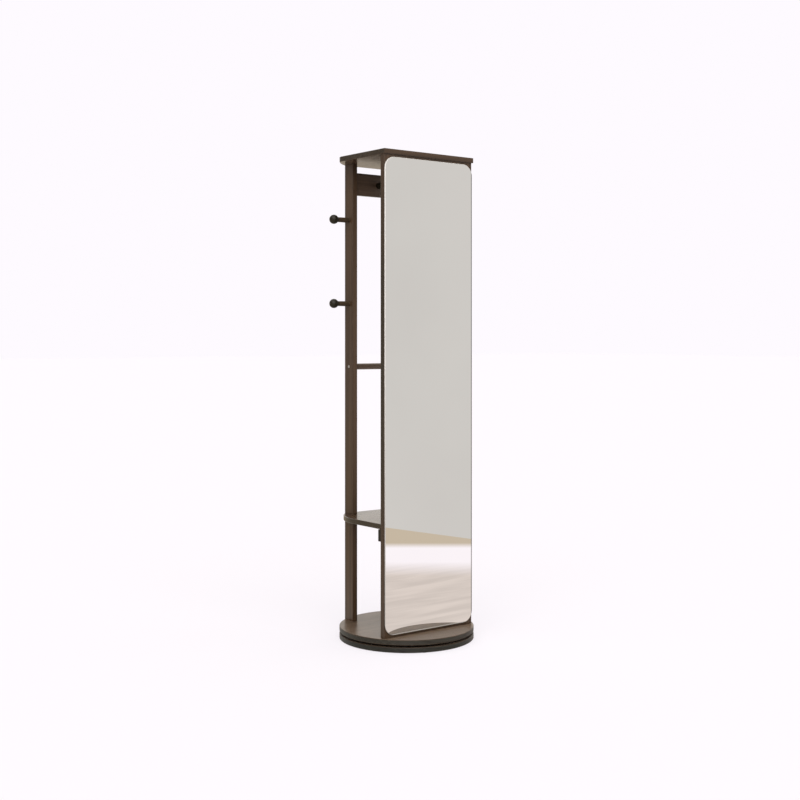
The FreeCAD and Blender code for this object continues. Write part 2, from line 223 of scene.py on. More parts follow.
walnut = {
    "dark": (0.024, 0.0126, 0.0062),
    "middle": (0.056, 0.0312, 0.0162),
    "light": (0.090, 0.0525, 0.0285),
    # the lighter colour of worn edges, also used for the painted light on the posts
    "worn": (0.150, 0.0980, 0.0640),
    "rim": (0.015, 0.0142, 0.0090),  # darker on the sawn rims: partly a darker stain, partly painted shade
    "rimCover": 0.7,
    "rimRoughness": 0.38,
    "paintedFrontLight": 0.62,  # painted light: the posts' faces that look along Y are lighter at middle heights
    "roughness": 0.25,
    "lacquer": 0.16,
    "lacquerRoughness": 0.15,
    "specular": 0.28,
    "edgeStain": 0.55,  # stain gathers along the edges
    "wearWidth": 0.0022,
    "wearAmount": 0.2,
}
nearBlack = {
    "dark": (0.0068, 0.0050, 0.0020),
    "middle": (0.0130, 0.0100, 0.0042),
    "light": (0.0230, 0.0175, 0.0075),
    "worn": (0.0700, 0.0420, 0.0260),
    "stem": (0.054, 0.0350, 0.0200),  # the pegs are browner behind their balls
    "roughness": 0.37,
    "lacquer": 0.06,
    "lacquerRoughness": 0.2,
    "specular": 0.24,
    "wearWidth": 0.0016,
    "wearAmount": 0.3,
}
grain = {
    "wander": ((7, 7, 0.9), 2.0),  # scales across, across and along the grain, then detail and roughness
    "streaks": ((95, 95, 1.7), 3.0, 0.55),
    "clouds": ((14, 14, 1.6), 2.0),
    "fibres": ((720, 720, 11), 2.0, 0.6),
    "pores": ((1500, 1500, 52), 1.0),
    "wanderReach": 0.030,
    "heart": (0.043, 0.118),  # how far the log's heart lies beside the board
    "ringDensity": 210.0,
    "poreRange": (0.60, 0.74),
    "toneRange": (0.36, 0.80),
    "ringShare": 0.42,
    "streakShare": 0.40,
    "cloudShare": 0.34,
    "fibreShare": 0.16,
    "fibreHeight": 0.5,
    "poreDepth": 0.7,
    "relief": (0.00012, 0.6),
    "turns": {"x": (0, math.radians(-90), 0), "y": (math.radians(90), 0, 0), "z": (0, 0, 0)},
    "steps": ((0.371, 1.7), (0.617, 1.3), (0.533, 2.1)),  # from one board to the next, and where that wraps
}
surface = {
    "poreCover": 0.55,
    "rimShades": ((0.1, 0.5), (0.5, 1.0), (0.9, 1.7)),  # tone of the grain, and the rim's tint there
    "rimFrom": (0.85, 0.45),  # how squarely a face looks along the thin axis, for no rim and for full rim
    "frontFrom": (-0.9, -0.6),
    "shadedRimBand": (0.95, 0.50, 0.16),  # middle, half and softness of the heights where the panel's rims carry painted shade
    # middle, half and softness of the heights with painted light on the posts' faces that look along Y
    "paintedFrontLightBand": (0.92, 0.50, 0.30),
    "stemFrom": (0.178, 0.168),
    "stainReach": 1.6,  # times the width of the wear
    "wearPatches": (60.0, 3.0, 0.6),
    "wearRange": (0.38, 0.66),
    "edgeFade": 0.25,
    "handling": (5.0, 3.0),
    "handlingRoughness": 0.10,
    "poreRoughness": 0.18,
    "wearRoughness": 0.10,
}


def buildGrainGroup():
    group = bpy.data.node_groups.new("woodGrain", "ShaderNodeTree")
    face = group.interface
    face.new_socket("Place", in_out="INPUT", socket_type="NodeSocketVector")
    for name in ("Tone", "Pores", "Height"):
        face.new_socket(name, in_out="OUTPUT", socket_type="NodeSocketFloat")
    entry = group.nodes.new("NodeGroupInput").outputs["Place"]
    leave = group.nodes.new("NodeGroupOutput")
    fields = ("wander", "streaks", "clouds", "fibres", "pores")
    wander, streaks, clouds, fibres, poreField = (stretchedNoise(group, entry, *grain[key]) for key in fields)
    beside, deep = grain["heart"]
    shift = times(group, minus(group, wander, 0.5), grain["wanderReach"])
    acrossLog = plus(group, plus(group, axisOf(group, entry, "X"), beside), shift)
    depthLog = plus(group, axisOf(group, entry, "Y"), deep)
    squares = (maths(group, "POWER", side, 2.0) for side in (acrossLog, depthLog))
    radius = maths(group, "SQRT", plus(group, *squares))
    rings = noiseAlong(group, times(group, radius, grain["ringDensity"]))
    pores = remap(group, poreField, *grain["poreRange"])
    tone = plus(group, times(group, rings, grain["ringShare"]), times(group, streaks, grain["streakShare"]))
    tone = plus(group, tone, times(group, clouds, grain["cloudShare"]))
    tone = plus(group, tone, times(group, minus(group, fibres, 0.5), grain["fibreShare"]))
    raised = times(group, fibres, grain["fibreHeight"])
    group.links.new(remap(group, tone, *grain["toneRange"]), leave.inputs["Tone"])
    group.links.new(pores, leave.inputs["Pores"])
    group.links.new(minus(group, raised, times(group, pores, grain["poreDepth"])), leave.inputs["Height"])
    return group


grainGroup = buildGrainGroup()


def boxEdgeMask(tree, place, low, high, width):
    # one where two faces of the board's box are both near, which is along its edges
    local = vectorMaths(tree, "ABSOLUTE", vectorMaths(tree, "SUBTRACT", place, (low + high) / 2))
    depth = vectorMaths(tree, "SUBTRACT", (high - low) / 2, local)
    x, y, z = (axisOf(tree, depth, axis) for axis in "XYZ")
    upper = maths(tree, "MAXIMUM", x, y)
    second = maths(tree, "MAXIMUM", maths(tree, "MINIMUM", x, y), maths(tree, "MINIMUM", upper, z))
    return remap(tree, second, width, width * surface["edgeFade"])


def discEdgeMask(tree, place, low, high, width):
    inward = minus(tree, (high.x - low.x) / 2, reachFromAxis(tree, place))
    away = maths(tree, "ABSOLUTE", minus(tree, axisOf(tree, place, "Z"), (low.z + high.z) / 2))
    below = minus(tree, (high.z - low.z) / 2, away)
    return remap(tree, maths(tree, "MAXIMUM", inward, below), width, width * surface["edgeFade"])


def facingAlong(tree, axis):
    return axisOf(tree, addNode(tree, "ShaderNodeTexCoord").outputs["Normal"], axis)


def rimMask(tree, thin):
    # one on the narrow faces of a board that is thin along that axis
    return remap(tree, maths(tree, "ABSOLUTE", facingAlong(tree, thin)), *surface["rimFrom"])


def heightBand(tree, place, middle, half, soft):
    away = maths(tree, "ABSOLUTE", minus(tree, axisOf(tree, place, "Z"), middle))
    return remap(tree, away, half + soft, half - soft)


# the narrow faces darker: partly a darker rim stain, partly painted shade; the top board's front rim is left
# lighter (painted light) and the mirror panel's rims darken only at middle heights (painted shade)
def rimStainAndShade(tree, place, look, along, thin):
    rim = rimMask(tree, thin)
    cover = times(tree, rim, look["rimCover"])
    if "litFrontRimCover" in look:
        front = remap(tree, facingAlong(tree, "Y"), *surface["frontFrom"], look["litFrontRimCover"])
        cover = times(tree, cover, front)
    if thin == "Y" and along == "z":
        cover = times(tree, cover, heightBand(tree, place, *surface["shadedRimBand"]))
    return rim, cover


def woodMaterial(name, look, along, seed, low, high, thin=None, tint=1.0, edges=boxEdgeMask):
    material, tree, shader = newMaterial(name, {
        "Specular IOR Level": look["specular"], "Coat Weight": look["lacquer"],
        "Coat Roughness": look["lacquerRoughness"], "Coat IOR": 1.5})
    place = objectPlace(tree)
    offset = tuple(step * seed % wrap for step, wrap in grain["steps"])
    turned = addNode(tree, "ShaderNodeMapping", {"Vector": place, "Location": offset,
                                                 "Rotation": grain["turns"][along]}).outputs["Vector"]
    pattern = addNode(tree, "ShaderNodeGroup", node_tree=grainGroup)
    tree.links.new(turned, pattern.inputs["Place"])
    tone, pores, height = (pattern.outputs[key] for key in ("Tone", "Pores", "Height"))
    dark, middle, light = (tinted(look[key], tint) for key in ("dark", "middle", "light"))
    colour = ramp(tree, tone, (0.0, dark), (0.5, middle), (1.0, light))
    colour = mixColour(tree, times(tree, pores, surface["poreCover"]), colour, dark)
    rough = look["roughness"]
    if thin:
        rim, cover = rimStainAndShade(tree, place, look, along, thin)
        shades = [(spot, tinted(look["rim"], amount)) for spot, amount in surface["rimShades"]]
        colour = mixColour(tree, cover, colour, ramp(tree, tone, *shades))
        rough = remap(tree, rim, 0.0, 1.0, rough, look["rimRoughness"])
    elif along == "z":
        # painted light: the posts' faces that look along Y are lighter at middle heights, mixed towards the
        # worn colour
        fronts = minus(tree, 1.0, rimMask(tree, "Y"))
        paintedFrontLight = times(tree, fronts, heightBand(tree, place, *surface["paintedFrontLightBand"]))
        colour = mixColour(tree, times(tree, paintedFrontLight, look["paintedFrontLight"]), colour, look["worn"])
    elif along == "x" and "stem" in look:
        side = maths(tree, "ABSOLUTE", axisOf(tree, place, "X"))
        colour = mixColour(tree, remap(tree, side, *surface["stemFrom"]), colour, look["stem"])
    width = look["wearWidth"]
    if "edgeStain" in look:
        gathered = edges(tree, place, low, high, width * surface["stainReach"])
        colour = mixColour(tree, times(tree, gathered, look["edgeStain"]), colour, dark)
    patches = remap(tree, noise(tree, place, *surface["wearPatches"]), *surface["wearRange"])
    wear = times(tree, edges(tree, place, low, high, width), patches)
    colour = mixColour(tree, times(tree, wear, look["wearAmount"]), colour, look["worn"])
    feed(shader, "Base Color", colour)
    handling = noise(tree, place, *surface["handling"])
    for field, amount in ((handling, "handlingRoughness"), (pores, "poreRoughness"), (wear, "wearRoughness")):
        rough = plus(tree, rough, times(tree, field, surface[amount]))
    feed(shader, "Roughness", rough)
    bump(tree, shader, height, *grain["relief"])
    return material


discFinish = {
    "roughness": 0.26, "lacquer": 0.0, "rim": (0.0072, 0.0098, 0.0075), "rimCover": 0.85,
    "middle": (0.051, 0.0340, 0.0225), "light": (0.082, 0.0570, 0.0390),
}
# the top board's front rim keeps almost none of the rims' darkening: painted light
topFinish = {"roughness": 0.21, "specular": 0.26, "rimCover": 0.62, "litFrontRimCover": 0.06}
shelfFinish = {
    "roughness": 0.22, "specular": 0.5, "rim": (0.009, 0.0085, 0.0050), "rimCover": 0.8, "rimRoughness": 0.2,
}
battenFinish = {"rim": (0.003, 0.0035, 0.0028), "rimCover": 0.95}
smokyFinish = {
    "dark": (0.024, 0.0155, 0.0105), "middle": (0.056, 0.0365, 0.0240), "light": (0.090, 0.0610, 0.0430),
}
# direction of the grain, axis along which the board is thin, tint of its wide faces (partly the board's own
# tone, partly painted light on the turntable, crossboard and stretcher, which sit darker under the lamps),
# and what else differs
boards = {
    "base_disc": ("x", "Z", 0.9, discFinish), "turntable_disc": ("x", "Z", 1.9, discFinish),
    "mirror_panel": ("z", "Y", 0.95, {}), "top_board": ("x", "Z", 1.0, topFinish),
    "shelf": ("x", "Z", 1.0, shelfFinish), "shelf_batten": ("x", "Y", 1.1, battenFinish),
    "left_lower_post": ("z", None, 1.0, {}), "right_lower_post": ("z", None, 1.0, {}),
    "left_upper_post": ("z", None, 1.0, {}), "right_upper_post": ("z", None, 1.0, {}),
    "crossboard": ("x", "Y", 1.9, smokyFinish), "stretcher_rod": ("x", None, 1.9, smokyFinish),
}
for seed, (name, (along, thin, tint, finish)) in enumerate(boards.items(), 3):
    look = {**walnut, **finish}
    edges = discEdgeMask if name.endswith("disc") else boxEdgeMask
    paint(name, woodMaterial("walnut_" + name, look, along, seed, *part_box(name), thin, tint, edges))

turnings = {
    "hanging_rail": "y", "left_upper_peg": "x", "right_upper_peg": "x", "left_lower_peg": "x",
    "right_lower_peg": "x",
}
for seed, (name, along) in enumerate(turnings.items(), 17):
    paint(name, woodMaterial("nearBlack_" + name, nearBlack, along, seed, *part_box(name)))
print("stage: wood painted")


# the mirror: a sheet of silvered glass with a ground edge and grey paint on its back

mirror = {
    "cornerRadius": 0.040,
    "cornerSteps": 16,
    "groundEdge": 0.0015,
    "silver": ((0.905, 0.905, 0.900), (0.918, 0.924, 0.916)),
    "silverCloud": (2.5, 2.0),
    "smears": ((9, 9, 5), 4.0, 0.6),
    "smearRange": (0.45, 0.8),
    "smearRoughness": (0.004, 0.02),
    "paintedRimSeenThrough": (0.20, 0.195, 0.185),  # painted shade: the ground side as seen through the glass from the left, painted along the right edge only
    "rimWidth": 0.0035,
    "rimSoftness": 0.001,
    "paintedFrost": (0.44, 0.42, 0.39),  # painted light: the lit ground lower side as seen through the glass from above, painted along the foot only
    "frostWidth": 0.0022,
    "frostSoftness": 0.0004,
    "frostRoughness": 0.5,
    "arris": ((0.36, 0.33, 0.30), (0.60, 0.57, 0.53)),  # at the foot and at the head: painted shade low, painted light high
    # the sides, the same way: near black at the foot (painted shade) and near white at the head (painted
    # light)
    "edge": ((0.050, 0.038, 0.029), (0.84, 0.81, 0.77)),
    "shadeToLightHeights": (0.10, 1.15),
    "grinding": (900.0, 2.0),
    "grindingShade": (0.95, 0.95, 0.95),
    "grindingRoughness": (0.22, 0.32),
    "grindingRelief": (0.00001, 0.5),
    "backPaint": {
        "constants": {"Specular IOR Level": 0.4}, "colours": ((0.17, 0.17, 0.165), (0.23, 0.23, 0.22)),
        "streaks": ((30, 30, 6), 4.0), "roughness": (0.38, 0.55), "relief": (700.0, 2.0),
        "bump": (0.00005, 0.4),
    },
}


def roundedOutline(low, high, radius, steps):
    # points round a rectangle in X and Z with round corners, starting at the lower right
    corners = ((high.x, low.z, -90), (high.x, high.z, 0), (low.x, high.z, 90), (low.x, low.z, 180))
    points = []
    for x, z, first in corners:
        centreX = x - math.copysign(radius, x)
        centreZ = z + radius if z == low.z else z - radius
        for step in range(steps + 1):
            angle = math.radians(first + 90 * step / steps)
            points.append((centreX + radius * math.cos(angle), centreZ + radius * math.sin(angle)))
    return points


def buildMirror():
    low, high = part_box("mirror_glass")
    radius, steps, shrink = (mirror[key] for key in ("cornerRadius", "cornerSteps", "groundEdge"))
    inset = Vector((shrink, 0, shrink))
    outline = roundedOutline(low, high, radius, steps)
    inner = roundedOutline(low + inset, high - inset, radius - shrink, steps)
    mesh = bpy.data.meshes.new("mirrorGlass")
    work = bmesh.new()
    rows = [
        [work.verts.new((x, low.y, z)) for x, z in inner],
        [work.verts.new((x, low.y + shrink, z)) for x, z in outline],
        [work.verts.new((x, high.y, z)) for x, z in outline],
    ]
    work.faces.new(rows[0])
    count = len(outline)
    for finish, (upper, lower) in enumerate(zip(rows, rows[1:]), 1):
        for i in range(count):
            j = (i + 1) % count
            work.faces.new((upper[i], lower[i], lower[j], upper[j])).material_index = finish
    work.faces.new(reversed(rows[2])).material_index = len(rows)
    bmesh.ops.recalc_face_normals(work, faces=work.faces)
    work.to_mesh(mesh)
    work.free()
    glass = bpy.data.objects.new("mirrorGlass", mesh)
    bpy.context.scene.collection.objects.link(glass)
    return glass


def silverMaterial():
    material, tree, shader = newMaterial("mirrorSilver", {})
    place = objectPlace(tree)
    low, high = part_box("mirror_glass")
    dull, bright = mirror["silver"]
    silver = ramp(tree, noise(tree, place, *mirror["silverCloud"]), (0.3, dull), (0.7, bright))
    # painted shade along the right edge and painted light along the foot, where the ground edge would show
    # through the glass
    side = high.x - mirror["groundEdge"] - mirror["rimWidth"]
    soft = mirror["rimSoftness"]
    rim = remap(tree, axisOf(tree, place, "X"), side - soft, side + soft)
    foot = low.z + mirror["groundEdge"] + mirror["frostWidth"]
    soft = mirror["frostSoftness"]
    paintedFrost = remap(tree, axisOf(tree, place, "Z"), foot + soft, foot - soft)
    colour = mixColour(tree, rim, silver, mirror["paintedRimSeenThrough"])
    feed(shader, "Base Color", mixColour(tree, paintedFrost, colour, mirror["paintedFrost"]))
    feed(shader, "Metallic", minus(tree, 1.0, paintedFrost))
    smears = stretchedNoise(tree, place, *mirror["smears"])
    rough = remap(tree, smears, *mirror["smearRange"], *mirror["smearRoughness"])
    feed(shader, "Roughness", plus(tree, rough, times(tree, paintedFrost, mirror["frostRoughness"])))
    return material


def groundEdgeMaterial(name, colours):
    material, tree, shader = newMaterial(name, {"IOR": 1.52, "Coat Weight": 0.4})
    place = objectPlace(tree)
    grinding = noise(tree, place, *mirror["grinding"])
    # painted shade at the foot, grading to painted light at the head
    shadedToLit = mixColour(tree, remap(tree, axisOf(tree, place, "Z"), *mirror["shadeToLightHeights"]), *colours)
    shade = ramp(tree, grinding, (0.3, mirror["grindingShade"]), (0.7, (1.0, 1.0, 1.0)))
    feed(shader, "Base Color", mixColour(tree, 1.0, shadedToLit, shade, "MULTIPLY"))
    feed(shader, "Roughness", remap(tree, grinding, 0.0, 1.0, *mirror["grindingRoughness"]))
    bump(tree, shader, grinding, *mirror["grindingRelief"])
    return material


mirrorGlass = buildMirror()
for material in (silverMaterial(), groundEdgeMaterial("mirrorArris", mirror["arris"]),
                 groundEdgeMaterial("mirrorSide", mirror["edge"]),
                 mottledMaterial("mirrorBackPaint", mirror["backPaint"])):
    mirrorGlass.data.materials.append(material)
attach(mirrorGlass, "carousel")
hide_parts("mirror_glass")
print("stage: mirror made")


# metal, plastic, felt and beech: bump holds the relief's depth in metres and its strength

metal = {"constants": {"Metallic": 1.0}, "cloud": (240.0, 3.0)}
plastic = {
    "constants": {"Specular IOR Level": 0.45}, "cloud": (300.0, 2.0), "relief": (2600.0, 2.0),
    "bump": (0.00004, 0.5),
}
finishes = {
    "zincPlate": {
        **metal, "colours": ((0.52, 0.53, 0.55), (0.70, 0.71, 0.72)), "roughness": (0.24, 0.42),
        "relief": (1500.0, 3.0), "bump": (0.00002, 0.6),
    },
    "castZinc": {
        **metal, "colours": ((0.40, 0.41, 0.43), (0.55, 0.56, 0.58)), "roughness": (0.36, 0.55),
        "relief": (900.0, 3.0), "bump": (0.00006, 0.6),
    },
    "ballSteel": {
        **metal, "colours": ((0.62, 0.62, 0.62), (0.72, 0.72, 0.73)), "roughness": (0.06, 0.12),
        "relief": (2400.0, 3.0), "bump": (0.000004, 0.6),
    },
    "naturalNylon": {
        **plastic, "colours": ((0.66, 0.65, 0.60), (0.74, 0.73, 0.68)), "roughness": (0.40, 0.52),
    },
    "brownCapPlastic": {
        **plastic, "colours": ((0.030, 0.018, 0.011), (0.044, 0.027, 0.017)), "roughness": (0.42, 0.55),
    },
    "whiteFoam": {
        **plastic, "colours": ((0.70, 0.70, 0.68), (0.80, 0.80, 0.78)), "roughness": (0.75, 0.9),
    },
    "pressedFelt": {
        "constants": {"Sheen Weight": 0.35, "Sheen Roughness": 0.5, "Specular IOR Level": 0.15,
                      "Roughness": 0.92},
        "colours": ((0.045, 0.034, 0.027), (0.105, 0.082, 0.066)), "cloud": (1900.0, 4.0, 0.7, 1.2),
        "bump": (0.0003, 0.8),
    },
    "beechDowel": {
        "constants": {"Specular IOR Level": 0.35}, "colours": ((0.50, 0.33, 0.17), (0.66, 0.47, 0.27)),
        "streaks": ((900, 900, 90), 3.0), "roughness": (0.5, 0.66), "bump": (0.00008, 0.5),
    },
}
ring = {
    "constants": {"Metallic": 1.0, "Anisotropic": 0.5},
    "colours": ((0.60, 0.61, 0.62), (0.74, 0.75, 0.76)),
    "roughness": (0.22, 0.38),
    "slant": 1.7,  # how fast the marks move outwards up the ring's side
    "markDensity": 5200.0,
    "bump": (0.00002, 0.5),
}


def turnedRingMaterial():
    # lathe marks are rings round the turning axis
    material, tree, shader = newMaterial("turnedAluminium", ring["constants"])
    place = objectPlace(tree)
    rise = times(tree, axisOf(tree, place, "Z"), ring["slant"])
    travel = plus(tree, reachFromAxis(tree, place), rise)
    marks = noiseAlong(tree, times(tree, travel, ring["markDensity"]))
    dark, light = ring["colours"]
    feed(shader, "Base Color", ramp(tree, marks, (0.25, dark), (0.75, light)))
    feed(shader, "Roughness", remap(tree, marks, 0.2, 0.8, *ring["roughness"]))
    bump(tree, shader, marks, *ring["bump"])
    return material


made = {name: mottledMaterial(name, look) for name, look in finishes.items()}
made["turnedAluminium"] = turnedRingMaterial()
hardware = {
    "turnedAluminium": ("bearing_outer_ring", "bearing_inner_ring"),
    "ballSteel": ("bearing_balls",),
    "naturalNylon": ("ball_cage",),
    "zincPlate": ("outer_ring_screws", "inner_ring_screws", "base_panel_screws", "top_panel_screws",
                  "batten_screws", "shelf_screws", "post_joint_studs", "crossboard_cam_bolts", "rail_stud",
                  "rail_end_screw", "stretcher_screws", "peg_studs"),
    "castZinc": ("crossboard_cams",),
    "brownCapPlastic": ("top_screw_caps",),
    "beechDowel": ("base_dowels", "top_dowels", "post_joint_dowels", "crossboard_dowels"),
    "pressedFelt": ("floor_pads",),
    "whiteFoam": ("mirror_tape",),
}
finishOf = {name: finish for finish, names in hardware.items() for name in names}
for name, finish in finishOf.items():
    paint(name, made[finish])
print("stage: hardware painted")


# what repeats is grown by geometry nodes: a vertex marks each place, and a tree sets the piece there

roundness = {"screw": 32, "stud": 28, "camBolt": 28, "dowel": 40, "button": 48}  # sides
ballSubdivisions = 4
threadShape = {
    "steps": 18,  # columns of the ridge in one turn
    "fadeTurns": 0.6,  # how soon it rises at its ends
    "footShare": 0.9,  # its foot lies inside the core
    "flankShare": 0.32,  # half its width at the foot, in pitches
}
crossShape = {"slotShare": 0.42, "lessDeep": 0.96}  # the two bars of the cross share no face
pointLength = 1.6  # of a screw, in core radii
weld = 1e-6


def hardwareTree(name, *sizes):
    tree = bpy.data.node_groups.new(name, "GeometryNodeTree")
    face = tree.interface
    face.new_socket("Places", in_out="INPUT", socket_type="NodeSocketGeometry")
    face.new_socket("Result", in_out="OUTPUT", socket_type="NodeSocketGeometry")
    for label in sizes:
        face.new_socket(label, in_out="INPUT", socket_type="NodeSocketFloat")
    face.new_socket("finish", in_out="INPUT", socket_type="NodeSocketMaterial")
    entry = tree.nodes.new("NodeGroupInput").outputs
    return tree, entry, [entry[label] for label in sizes]


def gridSheet(tree, columns, rows):
    sheet = addNode(tree, "GeometryNodeMeshGrid", {"Vertices X": columns, "Vertices Y": rows}).outputs["Mesh"]
    index = addNode(tree, "GeometryNodeInputIndex").outputs[0]
    column = maths(tree, "FLOOR", maths(tree, "DIVIDE", index, rows))
    return sheet, column, maths(tree, "FLOORED_MODULO", index, rows)


def pickPoint(tree, index, points):
    switch = addNode(tree, "GeometryNodeIndexSwitch", data_type="VECTOR")
    while len(switch.index_switch_items) < len(points):
        switch.index_switch_items.new()
    tree.links.new(index, switch.inputs["Index"])
    for socket, (radius, level) in zip(list(switch.inputs)[1:], points):
        tree.links.new(combined(tree, radius, 0.0, level), socket)
    return switch.outputs[0]


def spunAbout(tree, point, angle):
    return addNode(tree, "ShaderNodeVectorRotate", {"Vector": point, "Angle": angle},
                   rotation_type="Z_AXIS").outputs[0]


def shaped(tree, sheet, position):
    placed = addNode(tree, "GeometryNodeSetPosition", {"Geometry": sheet, "Position": position}).outputs[0]
    return addNode(tree, "GeometryNodeMergeByDistance", {"Geometry": placed, "Distance": weld}).outputs[0]


def lathe(tree, sides, stops, fluteShare=None):
    # a grid rolled round Z, one column for each side, welded along the seam and at the poles
    sheet, column, row = gridSheet(tree, sides + 1, len(stops))
    point = pickPoint(tree, row, stops)
    if fluteShare is not None:
        odd = maths(tree, "FLOORED_MODULO", column, 2.0)
        keep = minus(tree, 1.0, times(tree, odd, fluteShare))
        point = vectorMaths(tree, "MULTIPLY", point, combined(tree, keep, keep, 1.0))
    return shaped(tree, sheet, spunAbout(tree, point, times(tree, column, 2 * math.pi / sides)))


def threadRidge(tree, root, crest, pitch, first, length):
    # a closed ridge wound round the core, fading into it at both ends
    steps = threadShape["steps"]
    count = maths(tree, "CEIL", times(tree, maths(tree, "DIVIDE", length, pitch), steps))
    sheet, column, row = gridSheet(tree, plus(tree, count, 1.0), 4)
    nearEnd = maths(tree, "MINIMUM", column, minus(tree, count, column))
    fade = maths(tree, "DIVIDE", nearEnd, steps * threadShape["fadeTurns"], clamp=True)
    inside = times(tree, root, threadShape["footShare"])
    reach = plus(tree, inside, times(tree, minus(tree, crest, inside), fade))
    half = times(tree, times(tree, pitch, threadShape["flankShare"]), fade)
    under = times(tree, half, -1.0)
    point = pickPoint(tree, row, [(inside, under), (reach, 0.0), (inside, half), (inside, under)])
    rise = plus(tree, first, times(tree, maths(tree, "DIVIDE", column, count), length))
    turned = spunAbout(tree, point, times(tree, column, 2 * math.pi / steps))
    return shaped(tree, sheet, vectorMaths(tree, "ADD", turned, combined(tree, 0.0, 0.0, rise)))


def joined(tree, *parts):
    join = tree.nodes.new("GeometryNodeJoinGeometry")
    for part in reversed(parts):
        tree.links.new(part, join.inputs[0])
    return join.outputs[0]


def endTree(tree, entry, piece):
    aim = addNode(tree, "GeometryNodeInputNamedAttribute", {"Name": "aim"}, data_type="FLOAT_VECTOR")
    facing = addNode(tree, "FunctionNodeAlignRotationToVector", {"Vector": aim.outputs[0]}, axis="Z")
    placed = addNode(tree, "GeometryNodeInstanceOnPoints", {"Points": entry["Places"], "Instance": piece,
                                                            "Rotation": facing.outputs[0]}).outputs[0]
    real = addNode(tree, "GeometryNodeRealizeInstances", {"Geometry": placed}).outputs[0]
    coat = addNode(tree, "GeometryNodeSetMaterial", {"Geometry": real, "Material": entry["finish"]})
    tree.links.new(coat.outputs[0], tree.nodes.new("NodeGroupOutput").inputs[0])
    return tree


def driveCutters(tree, drive, width, depth):
    deep = times(tree, depth, 2.0)
    if drive == "hex":
        prism = addNode(tree, "GeometryNodeMeshCylinder", {"Vertices": 6, "Radius": width, "Depth": deep})
        return [prism.outputs["Mesh"]]
    wide = times(tree, width, 2.0)
    slim = times(tree, width, crossShape["slotShare"])
    less = times(tree, deep, crossShape["lessDeep"])
    bars = (combined(tree, wide, slim, deep), combined(tree, slim, wide, less))
    return [addNode(tree, "GeometryNodeMeshCube", {"Size": bar}).outputs["Mesh"] for bar in bars]


def screwTree(name, drive):
    tree, entry, sizes = hardwareTree(name, "headRadius", "shankRadius", "coreRadius", "length",
                                      "plainLength", "pitch", "driveWidth", "driveDepth")
    head, shank, core, length, plain, pitch, width, depth = sizes
    cone = minus(tree, head, shank)
    plainEnd = plus(tree, cone, plain)
    threadStart = plus(tree, plainEnd, minus(tree, shank, core))
    tip = minus(tree, length, times(tree, core, pointLength))
    body = lathe(tree, roundness["screw"], [
        (0.0, 0.0), (head, 0.0), (shank, cone), (shank, plainEnd), (core, threadStart), (core, tip),
        (0.0, length)])
    cutters = driveCutters(tree, drive, width, depth)
    cut = addNode(tree, "GeometryNodeMeshBoolean", {"Mesh 1": body}, operation="DIFFERENCE")
    for cutter in cutters:
        tree.links.new(cutter, cut.inputs["Mesh 2"])
    run = minus(tree, minus(tree, length, threadStart), core)
    ridge = threadRidge(tree, core, shank, pitch, threadStart, run)
    return endTree(tree, entry, joined(tree, cut.outputs["Mesh"], ridge))


def bevelledPin(tree, sides, radius, length, bevel, fluteShare=None):
    inner = minus(tree, radius, bevel)
    far = minus(tree, length, bevel)
    return lathe(tree, sides, [(0.0, 0.0), (inner, 0.0), (radius, bevel), (radius, far), (inner, length),
                               (0.0, length)], fluteShare)


def studTree():
    tree, entry, sizes = hardwareTree("threadedStud", "radius", "coreRadius", "length", "pitch", "bevel")
    radius, core, length, pitch, bevel = sizes
    pin = bevelledPin(tree, roundness["stud"], core, length, bevel)
    run = minus(tree, length, pitch)
    ridge = threadRidge(tree, core, radius, pitch, times(tree, pitch, 0.5), run)
    return endTree(tree, entry, joined(tree, pin, ridge))


def camBoltTree():
    tree, entry, sizes = hardwareTree("camBolt", "threadRadius", "threadLength", "coreRadius", "pitch",
                                      "stemRadius", "neckRadius", "neckStart", "collarStart", "length")
    thread, threadLength, core, pitch, stem, neck, neckStart, collarStart, length = sizes
    bevel, tipLength, threadGap = 0.3 * mm, 1.5 * mm, 0.5 * mm
    shoulder = minus(tree, stem, neck)
    flat = minus(tree, stem, bevel)
    body = lathe(tree, roundness["camBolt"], [
        (0.0, 0.0), (times(tree, core, 0.6), 0.0), (core, tipLength), (core, threadLength),
        (flat, threadLength), (stem, plus(tree, threadLength, bevel)), (stem, neckStart),
        (neck, plus(tree, neckStart, shoulder)), (neck, minus(tree, collarStart, shoulder)),
        (stem, collarStart), (stem, minus(tree, length, bevel)), (flat, length), (0.0, length)])
    run = minus(tree, threadLength, 2 * threadGap)
    return endTree(tree, entry, joined(tree, body, threadRidge(tree, core, thread, pitch, threadGap, run)))


def dowelTree():
    tree, entry, sizes = hardwareTree("flutedDowel", "radius", "length", "bevel", "fluteShare")
    return endTree(tree, entry, bevelledPin(tree, roundness["dowel"], *sizes))


def buttonTree():
    # a low round piece with a rolled edge and a slightly raised middle
    tree, entry, sizes = hardwareTree("roundButton", "radius", "height", "edge", "crown")
    radius, height, edge, crown = sizes
    rim = minus(tree, radius, edge)
    inside = minus(tree, radius, times(tree, edge, 0.3))
    shoulder = minus(tree, height, crown)
    low = minus(tree, shoulder, edge)
    bend = minus(tree, shoulder, times(tree, edge, 0.3))
    almost = minus(tree, height, times(tree, crown, 0.3))
    return endTree(tree, entry, lathe(tree, roundness["button"], [
        (0.0, 0.0), (rim, 0.0), (radius, times(tree, edge, 0.5)), (radius, low), (inside, bend),
        (rim, shoulder), (times(tree, radius, 0.5), almost), (0.0, height)]))


def ballTree():
    tree, entry, (radius,) = hardwareTree("bearingBall", "radius")
    sphere = addNode(tree, "GeometryNodeMeshIcoSphere", {"Radius": radius, "Subdivisions": ballSubdivisions})
    return endTree(tree, entry, sphere.outputs["Mesh"])


